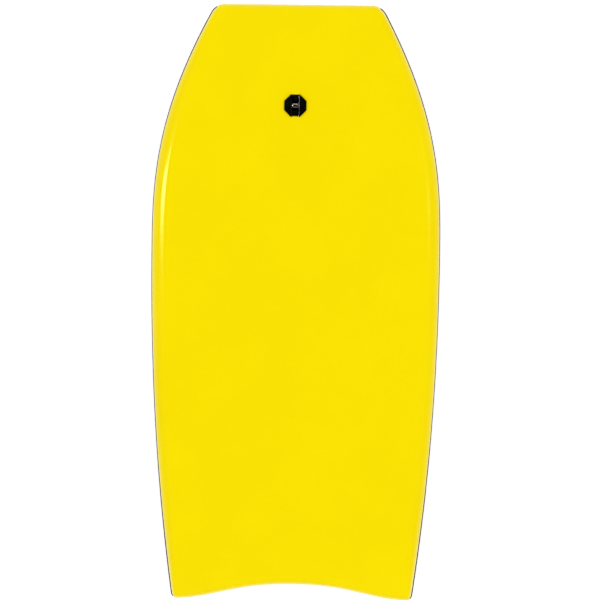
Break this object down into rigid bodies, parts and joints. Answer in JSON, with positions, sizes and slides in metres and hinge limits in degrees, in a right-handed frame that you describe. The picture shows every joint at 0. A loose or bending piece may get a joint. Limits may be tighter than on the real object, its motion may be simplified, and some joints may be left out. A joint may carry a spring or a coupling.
{
  "type": "bodyboard",
  "caption": "Foam bodyboard with a flat nose, crescent tail, wrapped deck, side rails, slick bottom and an octagonal leash plug with a metal cross pin.",
  "frame": {"origin": "on the surface that the board lies on, under the middle of its bounding box, slick side down", "axes": "+Y along the centreline towards the nose, +Z out of the deck, +X to the right seen from above with the nose up"},
  "size_m": [0.5056, 1.0408, 0.0643],
  "materials": {
    "deck_foam": "satin",
    "rail_foam": "satin",
    "core_foam": "matte",
    "slick": "gloss",
    "plug_plastic": "gloss",
    "pin_steel": "polished"
  },
  "bodies": {
    "root": {"deck_skin": "deck_foam", "nose_bumper": "deck_foam", "tail_bumper": "deck_foam", "rail_left": "rail_foam", "rail_right": "rail_foam", "bottom_foam": "rail_foam", "foam_core": "core_foam", "slick_sheet": "slick", "plug_cup": "plug_plastic", "plug_nut": "plug_plastic", "plug_pin": "pin_steel"}
  },
  "joints": []
}
